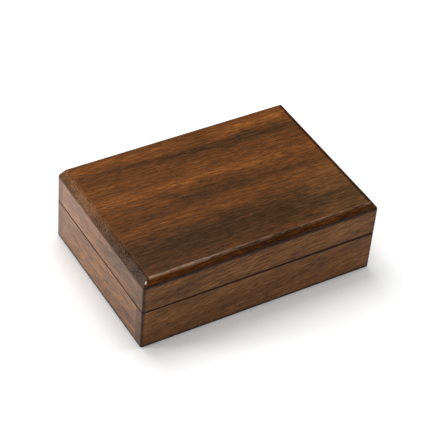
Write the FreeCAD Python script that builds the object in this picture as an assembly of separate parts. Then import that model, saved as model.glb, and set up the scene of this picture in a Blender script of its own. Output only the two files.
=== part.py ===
"""A wooden box for the pieces of a shogi set, with a lid that lifts straight off.

The box is made as one closed carcass of two long walls and two end walls, and is then sawn
round to part the lid from the base. The end walls sit between the long walls, each held by a
tongue in an upright housing. The bottom board lies flush in a rebate under the base. Four thin
mitred strips stand on it inside the walls and rise above the rim, so that the lid slips down
over them and sits flush with the base. The bevelled top board is glued on the lid walls, and a
raised field on its underside drops between them.

Millimetres. X runs along the length, -Y is the front and +Z is up. The origin is at the centre
of the footprint, on the surface that the box stands on.
"""

import FreeCAD, Part

import os

Vector = FreeCAD.Vector

# Outside of the closed box
box_length = 180.0
box_depth = 124.0
base_height = 32.0
lid_wall_height = 20.5

# Walls, and the rounding of their outer edges
wall = 8.5
corner_round = 1.6
foot_round = 1.0
rim_round = 0.4

# Corner joint: a tongue on each end wall, flush with its inner face, in a stopped housing
tongue_thickness = 3.0
tongue_length = 4.0
tongue_end_gap = 0.2

# Bottom board, flush in its rebate
bottom_board_thickness = 4.0
bottom_rebate = 4.0
bottom_board_gap = 0.15

# Lip strips, and the room that the lid has round them
lip_thickness = 3.0
lip_rise = 6.0
lip_outer_round = 1.2
lip_inner_round = 0.6
lid_fit_gap = 0.25
lid_lead_in = 0.8

# Top board: a short upright edge, a steep bevel that runs in further at the ends than at the
# sides, and a field that drops between the lid walls
top_board_edge = 1.2
bevel_drop = 5.8
side_bevel_run = 3.2
end_bevel_run = 4.2
bevel_foot_round = 3.0
bevel_top_round = 2.2
field_drop = 2.0
field_gap = 0.15
field_edge_round = 0.5

# Places that follow from the sizes above
half_length = box_length / 2
half_depth = box_depth / 2
lid_wall = wall - lid_fit_gap
rim_level = base_height
floor_level = bottom_board_thickness
lip_top = rim_level + lip_rise
lid_wall_top = rim_level + lid_wall_height
bevel_foot = lid_wall_top + top_board_edge
top_level = bevel_foot + bevel_drop


def block(low, high):
    """A plain block between two opposite corners."""
    length, depth, height = (b - a for a, b in zip(low, high))
    return Part.makeBox(length, depth, height, Vector(*low))


def centred_block(half_x, half_y, low_z, high_z):
    """A plain block that the origin's vertical passes through the middle of."""
    return block((-half_x, -half_y, low_z), (half_x, half_y, high_z))


def rounded(shape, radius, test):
    """The shape with a round along every edge whose bounding box passes the test."""
    edges = [edge for edge in shape.Edges if test(edge.BoundBox)]
    return shape.makeFillet(radius, edges)


def is_upright(box):
    return box.XLength < 0.01 and box.YLength < 0.01


def is_level_at(height):
    return lambda box: abs(box.ZMin - height) < 0.01 and abs(box.ZMax - height) < 0.01


def runs_along_x_at(y, height):
    def test(box):
        return is_level_at(height)(box) and abs(box.YMin - y) < 0.01 and abs(box.YMax - y) < 0.01

    return test


def mirrored_in_x(shape):
    return shape.mirror(Vector(0, 0, 0), Vector(1, 0, 0))


def mirrored_in_y(shape):
    return shape.mirror(Vector(0, 0, 0), Vector(0, 1, 0))


def storey(low_z, high_z):
    """The solid outer form of one storey, with its upright corners rounded."""
    form = centred_block(half_length, half_depth, low_z, high_z)
    return rounded(form, corner_round, is_upright)


def front_wall_of(form, thickness, joint_low, joint_high):
    """The full-length front wall of a storey, housed near each end for the end walls."""
    low, high = form.BoundBox.ZMin, form.BoundBox.ZMax
    inner_x = half_length - thickness
    inner_y = half_depth - thickness
    wall_zone = block((-half_length, -half_depth, low), (half_length, -inner_y, high))
    housing = block(
        (-inner_x - tongue_thickness, -inner_y - tongue_length, joint_low),
        (-inner_x, -inner_y, joint_high),
    )
    return form.common(wall_zone).cut(housing).cut(mirrored_in_x(housing))


def left_wall_of(form, thickness, joint_low, joint_high):
    """The left end wall of a storey, between the long walls, with a tongue at each end."""
    low, high = form.BoundBox.ZMin, form.BoundBox.ZMax
    inner_x = half_length - thickness
    inner_y = half_depth - thickness
    reach = inner_y + tongue_length - tongue_end_gap
    wall_zone = block((-half_length, -inner_y, low), (-inner_x, inner_y, high))
    outer_x = inner_x + tongue_thickness
    tongues = block((-outer_x, -reach, joint_low), (-inner_x, reach, joint_high))
    return form.common(wall_zone).fuse(tongues).removeSplitter()


def four_walls(form, thickness, joint_low, joint_high, hollow):
    """The walls of a storey by name, with the shared hollow taken out of each."""
    front = front_wall_of(form, thickness, joint_low, joint_high).cut(hollow)
    left = left_wall_of(form, thickness, joint_low, joint_high).cut(hollow)
    return {
        "front_wall": front,
        "back_wall": mirrored_in_y(front),
        "left_wall": left,
        "right_wall": mirrored_in_x(left),
    }


def base_walls():
    form = rounded(storey(0, rim_level), foot_round, is_level_at(0))
    form = rounded(form, rim_round, is_level_at(rim_level))
    rebate_x = half_length - wall + bottom_rebate
    rebate_y = half_depth - wall + bottom_rebate
    rebate = centred_block(rebate_x, rebate_y, 0, bottom_board_thickness)
    return four_walls(form, wall, bottom_board_thickness, rim_level, rebate)


def bottom_board():
    half_x = half_length - wall + bottom_rebate - bottom_board_gap
    half_y = half_depth - wall + bottom_rebate - bottom_board_gap
    return centred_block(half_x, half_y, 0, bottom_board_thickness)


def mitred_strip(half_run, half_across):
    """A lip strip along X at the -Y side, from the bottom board to above the rim."""
    inner_run = half_run - lip_thickness
    inner_across = half_across - lip_thickness
    outline = Part.makePolygon([
        Vector(-half_run, -half_across, floor_level),
        Vector(half_run, -half_across, floor_level),
        Vector(inner_run, -inner_across, floor_level),
        Vector(-inner_run, -inner_across, floor_level),
        Vector(-half_run, -half_across, floor_level),
    ])
    mitred = Part.Face(outline).extrude(Vector(0, 0, lip_top - floor_level))
    bar = block((-half_run, -half_across, floor_level), (half_run, -inner_across, lip_top))
    bar = rounded(bar, lip_outer_round, runs_along_x_at(-half_across, lip_top))
    bar = rounded(bar, lip_inner_round, runs_along_x_at(-inner_across, lip_top))
    return bar.common(mitred)


def lip_strips():
    half_x = half_length - wall
    half_y = half_depth - wall
    front = mitred_strip(half_x, half_y)
    left = mitred_strip(half_y, half_x)
    left.rotate(Vector(0, 0, 0), Vector(0, 0, 1), -90)
    return {
        "lip_front": front,
        "lip_back": mirrored_in_y(front),
        "lip_left": left,
        "lip_right": mirrored_in_x(left),
    }


def lead_in_slope(inner_x, inner_y):
    """The room that a small slope takes out of the inside of the lid's rim."""
    wide_x, wide_y = inner_x + lid_lead_in, inner_y + lid_lead_in
    top = rim_level + lid_lead_in
    slope = Part.makeWedge(
        -wide_x, rim_level, -wide_y, -inner_y, -inner_x, wide_x, top, wide_y, inner_y, inner_x
    )
    slope.rotate(Vector(0, 0, 0), Vector(1, 0, 0), 90)
    return slope


def lid_walls():
    form = rounded(storey(rim_level, lid_wall_top), rim_round, is_level_at(rim_level))
    lead_in = lead_in_slope(half_length - lid_wall, half_depth - lid_wall)
    return four_walls(form, lid_wall, rim_level, lid_wall_top, lead_in)


def bevelled_bar(half_width, half_span, bevel_run):
    """A bar along X with the top board's edge and bevel on both of its long sides."""
    outline = Part.makePolygon([
        Vector(-half_span, -half_width, lid_wall_top),
        Vector(-half_span, -half_width, bevel_foot),
        Vector(-half_span, -half_width + bevel_run, top_level),
        Vector(-half_span, half_width - bevel_run, top_level),
        Vector(-half_span, half_width, bevel_foot),
        Vector(-half_span, half_width, lid_wall_top),
        Vector(-half_span, -half_width, lid_wall_top),
    ])
    bar = Part.Face(outline).extrude(Vector(2 * half_span, 0, 0))

    def is_bevel_foot(box):
        return is_level_at(bevel_foot)(box) and box.XLength > half_span

    return rounded(bar, bevel_foot_round, is_bevel_foot)


def lid_top_board():
    """The board with its bevel all round, and the field under it that fits the lid walls."""
    along = bevelled_bar(half_depth, half_length, side_bevel_run)
    across = bevelled_bar(half_length, half_depth, end_bevel_run)
    across.rotate(Vector(0, 0, 0), Vector(0, 0, 1), 90)
    board = along.common(across)

    def is_corner(box):
        return box.XMin * box.XMax > 0 and box.YMin * box.YMax > 0

    board = rounded(board, corner_round, is_corner)
    board = rounded(board, bevel_top_round, is_level_at(top_level))
    field_x = half_length - lid_wall - field_gap
    field_y = half_depth - lid_wall - field_gap
    field = centred_block(field_x, field_y, lid_wall_top - field_drop, lid_wall_top)
    field = rounded(field, field_edge_round, is_level_at(lid_wall_top - field_drop))
    return board.fuse(field).removeSplitter()


def all_pieces():
    pieces = {"base_" + name: shape for name, shape in base_walls().items()}
    pieces["bottom_board"] = bottom_board()
    pieces.update(lip_strips())
    pieces.update({"lid_" + name: shape for name, shape in lid_walls().items()})
    pieces["lid_top_board"] = lid_top_board()
    return pieces


def export(name, shape):
    solid, = shape.Solids
    if not solid.isValid():
        raise ValueError(name + " is not a sound solid")
    solid.exportStep(os.path.join("parts", name + ".step"))
    print(name, round(solid.Volume / 1000, 2), "cm3")


os.makedirs("parts", exist_ok=True)
for piece_name, piece_shape in all_pieces().items():
    export(piece_name, piece_shape)
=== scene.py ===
import math

import bpy
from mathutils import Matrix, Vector


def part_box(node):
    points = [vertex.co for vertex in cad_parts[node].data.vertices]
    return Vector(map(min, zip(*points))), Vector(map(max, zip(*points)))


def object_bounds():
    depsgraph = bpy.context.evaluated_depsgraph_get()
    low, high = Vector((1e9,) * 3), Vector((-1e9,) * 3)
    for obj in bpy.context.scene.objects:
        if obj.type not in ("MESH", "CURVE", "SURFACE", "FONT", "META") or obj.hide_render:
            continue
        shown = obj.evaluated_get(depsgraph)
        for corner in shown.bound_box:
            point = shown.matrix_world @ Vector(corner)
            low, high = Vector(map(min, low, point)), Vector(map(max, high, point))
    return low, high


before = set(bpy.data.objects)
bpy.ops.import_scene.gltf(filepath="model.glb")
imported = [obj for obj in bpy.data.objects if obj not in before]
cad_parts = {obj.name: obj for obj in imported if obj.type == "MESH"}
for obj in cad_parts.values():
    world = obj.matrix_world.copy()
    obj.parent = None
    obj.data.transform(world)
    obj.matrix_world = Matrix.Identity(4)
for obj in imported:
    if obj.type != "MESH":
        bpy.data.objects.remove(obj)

cad_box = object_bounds()

# The camera stands in front of the box and to its left, where the photograph was taken from.
# It looks down at about forty degrees through a long lens, and is held a little out of level.
camera_place = (-0.4658, -0.7035, 0.7734)
camera_turn = (48.593, -3.977, -29.976)
camera_lens = 136.93

camera_data = bpy.data.cameras.new("camera")
camera_data.lens = camera_lens
camera = bpy.data.objects.new("camera", camera_data)
camera.location = camera_place
camera.rotation_euler = [math.radians(angle) for angle in camera_turn]
bpy.context.scene.collection.objects.link(camera)
bpy.context.scene.camera = camera
bpy.context.scene.view_settings.view_transform = "Standard"


# The floor is a plain pale sheet that runs out of sight on all sides. The camera sees it a
# little paler than the light makes it, so that it ends in white and keeps the box's shadow.
def shade_node(tree, kind, inputs=None, **settings):
    """Adds a node with its settings, and fills its inputs with plain values or with links."""
    node = tree.nodes.new(kind)
    for name, value in settings.items():
        setattr(node, name, value)
    for name, value in (inputs or {}).items():
        if isinstance(value, bpy.types.NodeSocket):
            tree.links.new(value, node.inputs[name])
        else:
            node.inputs[name].default_value = value
    return node


def reckon(tree, operation, *values):
    """One step of arithmetic on plain values or sockets."""
    inputs = dict(enumerate(values))
    return shade_node(tree, "ShaderNodeMath", inputs, operation=operation).outputs[0]


floor_half_width = 4.0
floor_tone = 0.8
floor_tone_seen = 1.04

bpy.ops.object.select_all(action="DESELECT")
bpy.ops.mesh.primitive_plane_add(size=2 * floor_half_width, location=(0, 0, 0))
floor = bpy.context.object
floor.name = "floor"
floor_material = bpy.data.materials.new("pale_floor")
floor_material.use_nodes = True
tree = floor_material.node_tree
tree.nodes.clear()
seen = shade_node(tree, "ShaderNodeLightPath").outputs["Is Camera Ray"]
tone = reckon(tree, "MULTIPLY_ADD", seen, floor_tone_seen - floor_tone, floor_tone)
grey = shade_node(tree, "ShaderNodeCombineColor", {"Red": tone, "Green": tone, "Blue": tone})
matt = shade_node(tree, "ShaderNodeBsdfDiffuse", {"Color": grey.outputs[0]})
shade_node(tree, "ShaderNodeOutputMaterial", {"Surface": matt.outputs[0]})
floor.data.materials.append(floor_material)

# The light is that of a plain studio: an even glow from all round, a lamp high behind the box,
# another low on its left, and a weak one overhead on the right. The surround is white where
# the camera sees it, and dim where the wood reflects it.
glow_level = 0.54
glow_in_gloss = 0.05
# Each lamp: where it hangs, how wide it is and how strong it is
lamps = {
    "lamp_high_behind": ((-0.03, 0.33, 1.00), 0.50, 5.3),
    "low_lamp_left": ((-1.05, 0.40, 0.17), 0.30, 8.2),
    "weak_lamp_overhead": ((0.42, -0.10, 0.95), 0.32, 1.35),
}

for name, (place, width, power) in lamps.items():
    lamp_data = bpy.data.lights.new(name, "AREA")
    lamp_data.size = width
    lamp_data.energy = power
    lamp = bpy.data.objects.new(name, lamp_data)
    lamp.location = place
    lamp.rotation_euler = Vector(place).to_track_quat("Z", "Y").to_euler()
    bpy.context.scene.collection.objects.link(lamp)

world = bpy.data.worlds.new("studio")
bpy.context.scene.world = world
world.use_nodes = True
tree = world.node_tree
tree.nodes.clear()
ray = shade_node(tree, "ShaderNodeLightPath").outputs
dimmed = glow_in_gloss - glow_level
level = reckon(tree, "MULTIPLY_ADD", ray["Is Glossy Ray"], dimmed, glow_level)
level = reckon(tree, "MULTIPLY_ADD", ray["Is Camera Ray"], 1 - glow_level, level)
glow = shade_node(tree, "ShaderNodeBackground", {"Color": (1, 1, 1, 1), "Strength": level})
shade_node(tree, "ShaderNodeOutputWorld", {"Surface": glow.outputs[0]})


# The walls of the base and of the lid are walnut boards, stained dark and finished with a
# semi-gloss clear coat. Base and lid were one closed box until they were sawn apart, so the
# grain of each wall runs on across the joint.
def stain(red, green, blue):
    """A colour as it is read from a screen, 0 to 255, in the renderer's own units."""
    levels = [c / 255 for c in (red, green, blue)]
    linear = [c / 12.92 if c <= 0.04045 else ((c + 0.055) / 1.055) ** 2.4 for c in levels]
    return linear + [1]


def new_group(name, inputs, outputs):
    """An empty node group with its sockets, and its input and output nodes."""
    group = bpy.data.node_groups.new(name, "ShaderNodeTree")
    for socket, kind in inputs.items():
        group.interface.new_socket(socket, in_out="INPUT", socket_type="NodeSocket" + kind)
    for socket, kind in outputs.items():
        group.interface.new_socket(socket, in_out="OUTPUT", socket_type="NodeSocket" + kind)
    return group, group.nodes.new("NodeGroupInput").outputs, group.nodes.new("NodeGroupOutput")


def reckon_vector(tree, operation, *values, output="Vector"):
    """One step of arithmetic on plain vectors or vector sockets."""
    inputs = dict(enumerate(values))
    node = shade_node(tree, "ShaderNodeVectorMath", inputs, operation=operation)
    return node.outputs[output]


def axes_of(tree, vector):
    """The three parts of a vector, by the names X, Y and Z."""
    return shade_node(tree, "ShaderNodeSeparateXYZ", {0: vector}).outputs


def noise_along(tree, place, per_metre, detail):
    """Noise from 0 to 1 with so many features a metre along and across the grain."""
    along, across = per_metre
    scaled = reckon_vector(tree, "MULTIPLY", place, (along, across, across))
    inputs = {"Vector": scaled, "Scale": 1.0, "Detail": detail}
    return shade_node(tree, "ShaderNodeTexNoise", inputs).outputs


noise_middle = 0.5
# The levels of a step, where its span begins and where it ends
rising = (0.0, 1.0)
falling = (1.0, 0.0)


def ease(tree, value, span, levels=rising):
    """A smooth step from one level to another while the value crosses the span."""
    inputs = {
        "Value": value, "From Min": span[0], "From Max": span[1],
        "To Min": levels[0], "To Max": levels[1],
    }
    node = shade_node(tree, "ShaderNodeMapRange", inputs, interpolation_type="SMOOTHSTEP")
    return node.outputs[0]


# timber_grain: what a board shows at each scale, with its grain along X. Each scale has its
# features a metre along and across the grain, and then its fineness.
grain_scales = {
    "Figure": ((5, 75), 2.0),
    "Mottle": ((45, 70), 2.0),
    "Streaks": ((11, 300), 3.0),
    "Fibres": ((60, 1900), 3.0),
    "Flecks": ((140, 1250), 3.0),
}
pore_scale = ((170, 3200), 1.0)
pore_edge = (0.60, 0.68)
bend_scale = ((12, 35), 2.0)
bend_reach = 0.0016

group, given, result = new_group(
    "timber_grain",
    {"Place": "Vector", "Shift": "Vector"},
    dict.fromkeys([*grain_scales, "Pores"], "Float"),
)
shifted = reckon_vector(group, "ADD", given["Place"], given["Shift"])
bend = noise_along(group, shifted, *bend_scale)["Color"]
bend = reckon_vector(group, "SUBTRACT", bend, [noise_middle] * 3)
bent = reckon_vector(group, "MULTIPLY_ADD", bend, (0.0, bend_reach, bend_reach), shifted)
for output, scale in grain_scales.items():
    group.links.new(noise_along(group, bent, *scale)["Fac"], result.inputs[output])
pores = ease(group, noise_along(group, bent, *pore_scale)["Fac"], pore_edge)
group.links.new(pores, result.inputs["Pores"])

# arris_shade: how near a place is to the upright corners of the box, and to its level edge at
# one height, from 0 to 1. Stain has gathered there, with a ragged border; along the foot of the
# base the same mask paints the shade where the box stands on the floor.
half_length, half_depth, top_level = cad_box[1]
ragged_scale = ((260, 260), 3.0)
ragged_reach = 0.0022

group, given, result = new_group(
    "arris_shade",
    {"Place": "Vector", "Height": "Float", "Corner reach": "Float", "Level reach": "Float"},
    {"Corner": "Float", "Level": "Float"},
)
axes = axes_of(group, given["Place"])
from_end = reckon(group, "SUBTRACT", half_length, reckon(group, "ABSOLUTE", axes["X"]))
from_side = reckon(group, "SUBTRACT", half_depth, reckon(group, "ABSOLUTE", axes["Y"]))
above_level = reckon(group, "SUBTRACT", axes["Z"], given["Height"])
distances = {
    "Corner": reckon(group, "MAXIMUM", from_end, from_side),
    "Level": reckon(group, "ABSOLUTE", above_level),
}
ragged = noise_along(group, given["Place"], *ragged_scale)["Fac"]
ragged = reckon(group, "SUBTRACT", ragged, noise_middle)
ragged = reckon(group, "MULTIPLY", ragged, ragged_reach)
for output, distance in distances.items():
    distance = reckon(group, "ADD", distance, ragged)
    shade = ease(group, distance, (0.0, given[output + " reach"]), falling)
    group.links.new(shade, result.inputs[output])


def group_node(tree, name, inputs):
    """Places one of the shared groups in a material."""
    group = bpy.data.node_groups[name]
    return shade_node(tree, "ShaderNodeGroup", inputs, node_tree=group).outputs


def blend_colours(tree, amount, first, second, way="MIX"):
    """Goes from the first colour to the second by the amount, in one of the usual ways."""
    inputs = {0: amount, 6: first, 7: second}
    return shade_node(tree, "ShaderNodeMix", inputs, data_type="RGBA", blend_type=way).outputs[2]


def new_material(name, turn):
    """An empty material: its tree, the places on the piece, and these turned to the grain."""
    material = bpy.data.materials.new(name)
    material.use_nodes = True
    tree = material.node_tree
    tree.nodes.clear()
    place = shade_node(tree, "ShaderNodeTexCoord").outputs
    inputs = {"Vector": place["Object"], "Rotation": [math.radians(angle) for angle in turn]}
    return material, tree, place, shade_node(tree, "ShaderNodeMapping", inputs).outputs[0]


def grain_sum(tree, grain, middle, weights, strength=1.0):
    """A middle value, plus what each scale of the grain adds to it or takes from it."""
    total = middle
    for scale, weight in weights.items():
        departure = reckon(tree, "SUBTRACT", grain[scale], noise_middle)
        total = reckon(tree, "MULTIPLY_ADD", departure, weight * strength, total)
    return total


def tone_ramp(tree, tone, colours):
    """The colours of the stain, evenly from the darkest tone to the lightest."""
    ramp = shade_node(tree, "ShaderNodeValToRGB", {"Fac": tone})
    stops = ramp.color_ramp.elements
    for index, colour in enumerate(colours):
        position = index / (len(colours) - 1)
        stop = stops[index] if index < len(stops) else stops.new(position)
        stop.position = position
        stop.color = colour
    return ramp.outputs["Color"]


pore_stain = stain(150, 135, 120)
gloss_weights = {"Fibres": 0.12, "Streaks": 0.10}
pore_dullness = 0.12
relief_weights = {"Fibres": 0.6, "Flecks": 0.5, "Streaks": 0.5}
pore_depth = 0.8
relief_depth = 0.00004
finish_ior = 1.22
haze_roughness = 0.3


def darken_pores(tree, grain, colour):
    """The open pores hold more of the stain than the wood round them."""
    return blend_colours(tree, grain["Pores"], colour, pore_stain, "MULTIPLY")


def finish_wood(tree, grain, colour, roughness, haze):
    """The surface itself: colour, gloss that varies with the grain, open pores and a haze."""
    gloss = grain_sum(tree, grain, roughness, gloss_weights)
    gloss = reckon(tree, "MULTIPLY_ADD", grain["Pores"], pore_dullness, gloss)
    relief = grain_sum(tree, grain, noise_middle, relief_weights)
    relief = reckon(tree, "MULTIPLY_ADD", grain["Pores"], -pore_depth, relief)
    inputs = {"Strength": 1.0, "Distance": relief_depth, "Height": relief}
    bump = shade_node(tree, "ShaderNodeBump", inputs).outputs[0]
    inputs = {
        "Base Color": colour, "Roughness": gloss, "Normal": bump, "IOR": finish_ior,
        "Coat Weight": haze, "Coat Roughness": haze_roughness,
    }
    surface = shade_node(tree, "ShaderNodeBsdfPrincipled", inputs)
    shade_node(tree, "ShaderNodeOutputMaterial", {"Surface": surface.outputs[0]})


def gathered_stain_and_painted_shade(tree, place, on_end, along_corners, along_level):
    """How dark the corners and one level edge are: gathered stain, and painted shade at the base
    foot.
    """
    corner_reach, corner_strength = along_corners
    height, level_reach, level_strength, level_fade = along_level
    edge = group_node(
        tree, "arris_shade",
        {"Place": place["Object"], "Height": height, "Corner reach": corner_reach,
         "Level reach": level_reach},
    )
    corner = reckon(tree, "MULTIPLY", edge["Corner"], corner_strength)
    level_strength = reckon(tree, "MULTIPLY_ADD", on_end, -level_fade, level_strength)
    level = reckon(tree, "MULTIPLY", edge["Level"], level_strength)
    return reckon(tree, "MAXIMUM", corner, level)


def dress(piece, material):
    """Gives a piece this material and no other."""
    piece.data.materials.clear()
    piece.data.materials.append(material)


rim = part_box("base_front_wall")[1][2]
lid_wall_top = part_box("lid_front_wall")[1][2]
top_board_edge = 0.0012
bevel_foot = lid_wall_top + top_board_edge
inner_x = -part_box("lid_left_wall")[1][0]
inner_y = -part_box("lid_front_wall")[1][1]
wall_thickness = half_length - inner_x

wall_tones = [stain(58, 35, 18), stain(94, 60, 32), stain(122, 80, 44), stain(152, 104, 61)]
raw_tones = [stain(92, 66, 46), stain(122, 90, 64), stain(143, 108, 79), stain(160, 124, 93)]
long_grain_weights = {"Figure": 0.5, "Streaks": 0.6}
short_grain_weights = {"Mottle": 0.5, "Fibres": 1.2, "Flecks": 1.2}
end_wall_turn = (0.5, 0.8)
end_grain_stain = stain(176, 168, 160)

# The colour of the darkened edges, which is gathered stain and, at the foot of the base, painted
# shade; and the stain along the corners: how far it reaches, and how dark it is
glaze_and_painted_shade = stain(42, 32, 27)
wall_corners = (0.0028, 0.95)
# The joint, with painted shade in its groove: its colour, how far its dark line reaches up and
# down, how that grows, and how deep it goes
seam_shade_colour = stain(42, 16, 0)
seam_border = (0.0006, 0.0013)
seam_growth_per_metre = 0.003
seam_growth_on_ends = 0.0001
seam_depths = (0.0016, 0.0006)
# How far out from the inner faces the wood is bare
bare_depths = (0.0005, 0.0015)

wall_roughness = 0.40
haze_on_ends = 0.60
haze_growth_per_metre = 2.0


def depth_in_wall(tree, axes):
    """How far out a place lies in a wall, from nought at the inner faces of the lid."""
    beyond_x = reckon(tree, "SUBTRACT", reckon(tree, "ABSOLUTE", axes["X"]), inner_x)
    beyond_y = reckon(tree, "SUBTRACT", reckon(tree, "ABSOLUTE", axes["Y"]), inner_y)
    return reckon(tree, "MAXIMUM", beyond_x, beyond_y)


def painted_joint_shade(tree, axes, on_end, depth):
    """The dark line of the joint, painted shade in its groove, on the outer faces alone and
    wider towards the right.
    """
    outermost = ease(tree, depth, [wall_thickness - seam_depth for seam_depth in seam_depths])
    from_seam = reckon(tree, "ABSOLUTE", reckon(tree, "SUBTRACT", axes["Z"], rim))
    from_seam = reckon(tree, "MULTIPLY_ADD", axes["X"], -seam_growth_per_metre, from_seam)
    from_seam = reckon(tree, "MULTIPLY_ADD", on_end, -seam_growth_on_ends, from_seam)
    return reckon(tree, "MULTIPLY", ease(tree, from_seam, seam_border, falling), outermost)


def wall_material(name, board_of, stain_and_shade, looks):
    """Stained walnut for one wall, with the grain turned to run along it."""
    turn, shift = board_of
    lightness, drift_and_painted_light, short_grain, long_grain, end_grain_depth = looks
    material, tree, place, board = new_material(name, turn)
    axes = axes_of(tree, place["Object"])
    facing = axes_of(tree, place["Normal"])
    on_end = ease(tree, reckon(tree, "ABSOLUTE", facing["X"]), end_wall_turn)

    # The stained wood, with darker end grain where a long wall ends
    grain = group_node(tree, "timber_grain", {"Place": board, "Shift": shift})
    tone = grain_sum(tree, grain, lightness, long_grain_weights, long_grain)
    tone = grain_sum(tree, grain, tone, short_grain_weights, short_grain)
    # The drift along the board; on the left walls it is painted light, lighter towards the far
    # end
    tone = reckon(tree, "MULTIPLY_ADD", axes_of(tree, board)["X"], drift_and_painted_light, tone)
    colour = darken_pores(tree, grain, tone_ramp(tree, tone, wall_tones))
    end_grain = reckon(tree, "MULTIPLY", on_end, end_grain_depth)
    colour = blend_colours(tree, end_grain, colour, end_grain_stain, "MULTIPLY")

    # The stain that gathered along the edges, painted shade along the foot of the base, and the
    # painted shade in the line of the joint
    glazed_and_shaded = gathered_stain_and_painted_shade(tree, place, on_end, wall_corners, stain_and_shade)
    colour = blend_colours(tree, glazed_and_shaded, colour, glaze_and_painted_shade)
    depth = depth_in_wall(tree, axes)
    joint_shade = painted_joint_shade(tree, axes, on_end, depth)
    colour = blend_colours(tree, joint_shade, colour, seam_shade_colour)

    # Bare wood on the inner faces, and a faint haze on the ends of the box
    inside = ease(tree, depth, bare_depths, falling)
    colour = blend_colours(tree, inside, colour, tone_ramp(tree, tone, raw_tones))
    haze = reckon(tree, "MULTIPLY_ADD", axes["Y"], haze_growth_per_metre, haze_on_ends)
    haze = reckon(tree, "MULTIPLY", on_end, haze)
    unshaded = reckon(tree, "SUBTRACT", 1.0, reckon(tree, "MAXIMUM", joint_shade, glazed_and_shaded))
    haze = reckon(tree, "MULTIPLY", haze, unshaded)
    finish_wood(tree, grain, colour, wall_roughness, haze)
    return material


# Each wall: how its grain is turned in degrees, and where in the tree the board comes from
wall_boards = {
    "front_wall": ((0, 8.0, 0), (0.31, 0.07, 0.11)),
    "back_wall": ((0, -2.0, 0), (0.93, 0.42, 0.18)),
    "left_wall": ((2.5, 0, -90), (1.71, 0.16, 0.37)),
    "right_wall": ((-1.5, 0, -90), (2.43, 0.29, 0.53)),
}
# The darkening along one level edge of each storey, painted shade at the foot of the base where
# it stands on the floor and gathered stain under the bevel of the lid: its height, how far it
# reaches, how dark it is, and how much fainter on the ends of the box
stain_and_shade_at = {
    # painted shade along the foot, where the box stands on the floor
    "base": (0, 0.0036, 1.3, 0.0),
    "lid": (bevel_foot, 0.0030, 0.75, 0.58),
}
# Each piece of wall: how light its wood is, how that drifts along the board (on the left walls a
# painted light, lighter towards the far end), how strong its short and its long grain are, and
# how dark its end grain is
looks_of = {
    "base_front_wall": (0.60, 0.0, 1.0, 1.0, 0.9),
    "base_back_wall": (0.55, 0.0, 1.0, 1.0, 0.1),
    "base_left_wall": (0.605, 0.2, 1.7, 1.7, 0.0),
    "base_right_wall": (0.55, 0.4, 1.0, 1.6, 0.0),
    "lid_front_wall": (0.60, 0.0, 1.2, 1.4, 0.5),
    "lid_back_wall": (0.57, 0.3, 1.2, 1.2, 0.1),
    "lid_left_wall": (0.56, 4.0, 1.3, 1.2, 0.0),
    "lid_right_wall": (0.56, 0.8, 1.0, 1.4, 0.0),
}
for wall, board_of in wall_boards.items():
    for storey, stain_and_shade in stain_and_shade_at.items():
        piece = storey + "_" + wall
        material = wall_material(piece + "_walnut", board_of, stain_and_shade, looks_of[piece])
        dress(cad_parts[piece], material)

# The lip is four thin walnut strips, mitred at the corners and glued round the inside of the
# base. They stand on the bottom board, which lies in a rebate under the walls. Strips and
# board are planed and oiled but not stained.
raw_lightness = 0.5
raw_weights = {"Figure": 0.7, "Mottle": 0.3, "Streaks": 0.7, "Fibres": 0.9, "Flecks": 0.7}
raw_roughness = 0.6
# Each piece: how its grain is turned in degrees, and where in the tree it comes from
raw_boards = {
    "lip_front": (0, (0.4, 0.9, 0.2)),
    "lip_back": (0, (1.4, 0.3, 0.6)),
    "lip_left": (-90, (2.4, 0.5, 0.1)),
    "lip_right": (-90, (3.4, 0.8, 0.7)),
    "bottom_board": (0, (4.4, 0.2, 0.9)),
}
for name, (turn, shift) in raw_boards.items():
    material, tree, place, board = new_material(name + "_walnut", (0, 0, turn))
    grain = group_node(tree, "timber_grain", {"Place": board, "Shift": shift})
    tone = grain_sum(tree, grain, raw_lightness, raw_weights)
    colour = darken_pores(tree, grain, tone_ramp(tree, tone, raw_tones))
    finish_wood(tree, grain, colour, raw_roughness, 0.0)
    dress(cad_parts[name], material)

# The top board is one wide walnut board, planed to a bevel all round and glued on the lid walls.
# Its grain runs along the box, with a few long streaks, dark and pale. The bevel has taken more
# of the stain than the face.
side_bevel_run = 0.0032
end_bevel_run = 0.0042
top_turn = (0, 0, 1.0)
top_shift = (5.2, 0.61, 0.34)
top_lightness = 0.468
top_weights = {"Figure": 0.25, "Mottle": 0.25, "Streaks": 0.30, "Fibres": 1.2, "Flecks": 1.1}
top_tones = [
    stain(58, 38, 20), stain(78, 50, 26), stain(100, 59, 28), stain(122, 71, 29),
    stain(154, 95, 43),
]

# long_streak: how much a place lies in one streak along the board, from 0 to 1. Its border
# wanders with the grain, and its ends are soft.
streak_fade = (-0.02, 0.02)

group, given, result = new_group(
    "long_streak",
    {"Place": "Vector", "Wander": "Float", "Middle": "Float", "Slope": "Float",
     "Half width": "Float", "From": "Float", "To": "Float"},
    {"Mask": "Float"},
)
axes = axes_of(group, given["Place"])
line = reckon(group, "MULTIPLY_ADD", axes["X"], given["Slope"], given["Middle"])
off_line = reckon(group, "ADD", reckon(group, "SUBTRACT", axes["Y"], line), given["Wander"])
off_line = reckon(group, "DIVIDE", reckon(group, "ABSOLUTE", off_line), given["Half width"])
across = ease(group, off_line, (0.0, 1.0), falling)
starts = ease(group, reckon(group, "SUBTRACT", axes["X"], given["From"]), streak_fade)
ends = ease(group, reckon(group, "SUBTRACT", given["To"], axes["X"]), streak_fade)
along = reckon(group, "MULTIPLY", starts, ends)
group.links.new(reckon(group, "MULTIPLY", across, along), result.inputs["Mask"])

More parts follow.
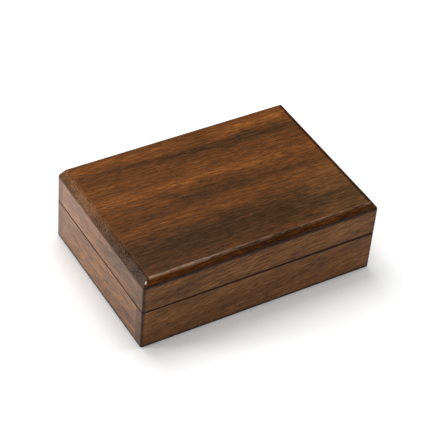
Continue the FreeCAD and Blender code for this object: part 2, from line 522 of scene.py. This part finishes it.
# The wood of the whole board. Each streak: its middle and slope, half its width, where it
# starts and ends, and how much it darkens the wood or, below nought, lightens it.
streaks = [
    (0.051, -0.01, 0.008, -0.090, 0.005, -0.19),
    (0.0395, -0.06, 0.004, -0.080, -0.005, 0.22),
    (0.039, -0.03, 0.007, -0.015, 0.075, 0.27),
    (0.036, -0.02, 0.004, 0.050, 0.095, 0.14),
    (0.050, 0.0, 0.009, 0.025, 0.095, -0.32),
    (0.013, -0.02, 0.009, -0.090, 0.035, -0.24),
    (0.009, 0.01, 0.008, 0.030, 0.095, -0.20),
    (-0.002, -0.03, 0.009, -0.032, 0.030, 0.30),
    (-0.003, -0.04, 0.004, 0.032, 0.095, 0.24),
    (-0.007, 0.02, 0.005, -0.095, -0.025, 0.12),
    (-0.019, 0.02, 0.009, -0.090, 0.010, -0.06),
    (-0.024, 0.0, 0.018, 0.060, 0.110, -0.22),
    (-0.038, 0.0, 0.017, -0.045, 0.045, 0.12),
    (-0.042, 0.0, 0.030, -0.120, 0.120, 0.29),
]
wander_scale = ((14, 14), 3.0)
wander_reach = 0.005
wander_weights = {"Streaks": 0.005, "Flecks": 0.004}

material, tree, place, board = new_material("top_board_walnut", top_turn)
axes = axes_of(tree, place["Object"])
facing = axes_of(tree, place["Normal"])
grain = group_node(tree, "timber_grain", {"Place": board, "Shift": top_shift})
tone = grain_sum(tree, grain, top_lightness, top_weights)
wander = noise_along(tree, place["Object"], *wander_scale)["Fac"]
wander = reckon(tree, "SUBTRACT", wander, noise_middle)
wander = reckon(tree, "MULTIPLY", wander, wander_reach)
wander = grain_sum(tree, grain, wander, wander_weights)
for middle, slope, half_width, start, end, strength in streaks:
    mask = group_node(
        tree, "long_streak",
        {"Place": place["Object"], "Wander": wander, "Middle": middle, "Slope": slope,
         "Half width": half_width, "From": start, "To": end},
    )["Mask"]
    tone = reckon(tree, "MULTIPLY_ADD", mask, -strength, tone)
colour = tone_ramp(tree, tone, top_tones)

# A painted sheen makes the face paler and greener towards the front right corner, and more so in
# its pale wood
sheen_colour = stain(118, 88, 55)
sheen_along = (0.02, 0.085)
sheen_across = (-0.045, 0.01)
sheen_tones = (0.15, 0.55)
sheen_levels = (0.15, 0.45)
painted_sheen = ease(tree, axes["Y"], sheen_across, falling)
painted_sheen = reckon(tree, "MULTIPLY", ease(tree, axes["X"], sheen_along), painted_sheen)
painted_sheen = reckon(tree, "MULTIPLY", painted_sheen, ease(tree, tone, sheen_tones, sheen_levels))
colour = blend_colours(tree, painted_sheen, colour, sheen_colour)
colour = darken_pores(tree, grain, colour)

# The long bevels are darker and redder, with the stain caught in the fibres
long_bevel_stains = [stain(165, 126, 48), stain(246, 224, 106)]
long_bevel_turn = (0.35, 0.75)
long_bevel_weights = {"Flecks": 1.6, "Streaks": 0.6}
long_bevel_contrast = (0.2, 0.8)
on_long_bevel = ease(tree, reckon(tree, "ABSOLUTE", facing["Y"]), long_bevel_turn)
caught = grain_sum(tree, grain, noise_middle, long_bevel_weights)
caught = ease(tree, caught, long_bevel_contrast)
long_bevel = blend_colours(tree, caught, *long_bevel_stains)
colour = blend_colours(tree, on_long_bevel, colour, long_bevel, "MULTIPLY")

# The end bevels cut across the grain, so they are blotchy, and painted shade darkens them
# towards the front
end_bevel_tones = [stain(76, 49, 27), stain(124, 86, 55)]
end_bevel_turn = (0.12, 0.5)
end_bevel_cover = 0.8
blotch_weights = {"Fibres": 1.2, "Mottle": 1.2, "Flecks": 2.0}
blotch_contrast = (0.3, 0.7)
shade_across = (-0.06, 0.06)
shade_levels = (0.24, 1.0)
on_end_bevel = ease(tree, reckon(tree, "ABSOLUTE", facing["X"]), end_bevel_turn)
blotch = grain_sum(tree, grain, noise_middle, blotch_weights)
blotch = ease(tree, blotch, blotch_contrast)
end_bevel = blend_colours(tree, blotch, *end_bevel_tones)
# painted shade: the end bevels darker towards the front, lighter at the back
shade = ease(tree, axes["Y"], shade_across, shade_levels)
shade = shade_node(tree, "ShaderNodeCombineColor", {"Red": shade, "Green": shade, "Blue": shade})
end_bevel = blend_colours(tree, 1.0, end_bevel, shade.outputs[0], "MULTIPLY")
covered = reckon(tree, "MULTIPLY", on_end_bevel, end_bevel_cover)
colour = blend_colours(tree, covered, colour, end_bevel)

# The stain gathered along the hips and the foot of the bevel, less of it on the ends. The
# values stand in the same order as those of the walls.
along_hips = (0.0016, 0.8)
along_foot = (bevel_foot, 0.0020, 0.8, 0.5)
glazed_and_shaded = gathered_stain_and_painted_shade(tree, place, on_end_bevel, along_hips, along_foot)
colour = blend_colours(tree, glazed_and_shaded, colour, glaze_and_painted_shade)

# The crest of the long bevels is rubbed bright and carries a painted highlight, in a broken
# line, most of all at its two ends
crest_wear_and_painted_highlight = stain(185, 150, 120)
crest_cover = 0.65
crest_width = 0.0012
crest_shift = 0.0001
crest_border = {"Flecks": 0.0014}
crest_breaks = {"Flecks": 2.4, "Mottle": 1.4}
break_contrast = (0.25, 0.75)
break_levels = (0.2, 1.15)
left_stretch = (-0.05, -0.02)
left_levels = (0.9, 0.44)
right_stretch = (0.074, 0.082)
right_levels = (0.0, 0.7)
polish_turn = (0.70, 0.88)
from_side = reckon(tree, "SUBTRACT", half_depth, reckon(tree, "ABSOLUTE", axes["Y"]))
from_end = reckon(tree, "SUBTRACT", half_length, reckon(tree, "ABSOLUTE", axes["X"]))
from_crest = reckon(tree, "SUBTRACT", from_side, side_bevel_run - crest_shift)
from_crest = reckon(tree, "ABSOLUTE", from_crest)
from_crest = grain_sum(tree, grain, from_crest, crest_border)
crest = ease(tree, from_crest, (0.0, crest_width), falling)
off_ends = ease(tree, from_end, (end_bevel_run, end_bevel_run + crest_width))
crest = reckon(tree, "MULTIPLY", crest, off_ends)
broken = grain_sum(tree, grain, noise_middle, crest_breaks)
broken = ease(tree, broken, break_contrast, break_levels)
crest = reckon(tree, "MULTIPLY", crest, broken)
left_part = ease(tree, axes["X"], left_stretch, left_levels)
right_part = ease(tree, axes["X"], right_stretch, right_levels)
crest = reckon(tree, "MULTIPLY", crest, reckon(tree, "MAXIMUM", left_part, right_part))
colour = blend_colours(tree, reckon(tree, "MULTIPLY", crest, crest_cover), colour, crest_wear_and_painted_highlight)
polished = reckon(tree, "MULTIPLY", crest, ease(tree, facing["Z"], polish_turn))

# Painted shade: the face is darker just before its right and back edges, where it turns down to
# the bevel
far_edge_shade_colour = stain(164, 146, 134)
far_end_border = (0.0028, 0.0020)
far_side_border = (0.0016, 0.0006)
far_side_strength = 0.5
face_end = half_length - end_bevel_run
face_side = half_depth - side_bevel_run
far_end = ease(tree, axes["X"], [face_end - inset for inset in far_end_border])
far_end = reckon(tree, "MULTIPLY", far_end, reckon(tree, "SUBTRACT", 1.0, on_long_bevel))
far_side = ease(tree, axes["Y"], [face_side - inset for inset in far_side_border])
far_side = reckon(tree, "MULTIPLY", far_side, far_side_strength)
far_edge_shade = reckon(tree, "MAXIMUM", far_end, far_side)
colour = blend_colours(tree, far_edge_shade, colour, far_edge_shade_colour, "MULTIPLY")

# A small painted glint, a highlight, lies along the hip at the near corner
glint_place = (-0.0876, -0.0600, 0.0566)
glint_white = stain(222, 210, 198)
glint_half_length = (0.0005, 0.0015)
glint_half_width = (0.0001, 0.0007)
glint_levels = (0.9, 0.0)
hip = Vector((end_bevel_run, side_bevel_run, top_level - bevel_foot)).normalized()
from_glint = reckon_vector(tree, "SUBTRACT", place["Object"], glint_place)
along_hip = reckon_vector(tree, "DOT_PRODUCT", from_glint, hip, output="Value")
along_hip = reckon(tree, "ABSOLUTE", along_hip)
off_hip = reckon_vector(tree, "CROSS_PRODUCT", from_glint, hip)
off_hip = reckon_vector(tree, "LENGTH", off_hip, output="Value")
painted_glint = ease(tree, off_hip, glint_half_width, glint_levels)
painted_glint = reckon(tree, "MULTIPLY", painted_glint, ease(tree, along_hip, glint_half_length, falling))
colour = blend_colours(tree, painted_glint, colour, glint_white)

# The raised field under the board is bare wood
bare_below = (0.0006, 0.0001)
bare = ease(tree, axes["Z"], [lid_wall_top - drop for drop in bare_below], falling)
colour = blend_colours(tree, bare, colour, tone_ramp(tree, tone, raw_tones))

# The end bevels are uneven in their gloss, dull where a blotch is pale, most so at the front
top_roughness = 0.33
even_blotch = 0.65
uneven_across = (-0.05, 0.04)
uneven_levels = (0.28, 0.03)
uneven = reckon(tree, "MULTIPLY", on_end_bevel, reckon(tree, "SUBTRACT", blotch, even_blotch))
uneven = reckon(tree, "MULTIPLY", uneven, ease(tree, axes["Y"], uneven_across, uneven_levels))
roughness = reckon(tree, "ADD", uneven, top_roughness)
finish_wood(tree, grain, colour, roughness, polished)
dress(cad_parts["lid_top_board"], material)
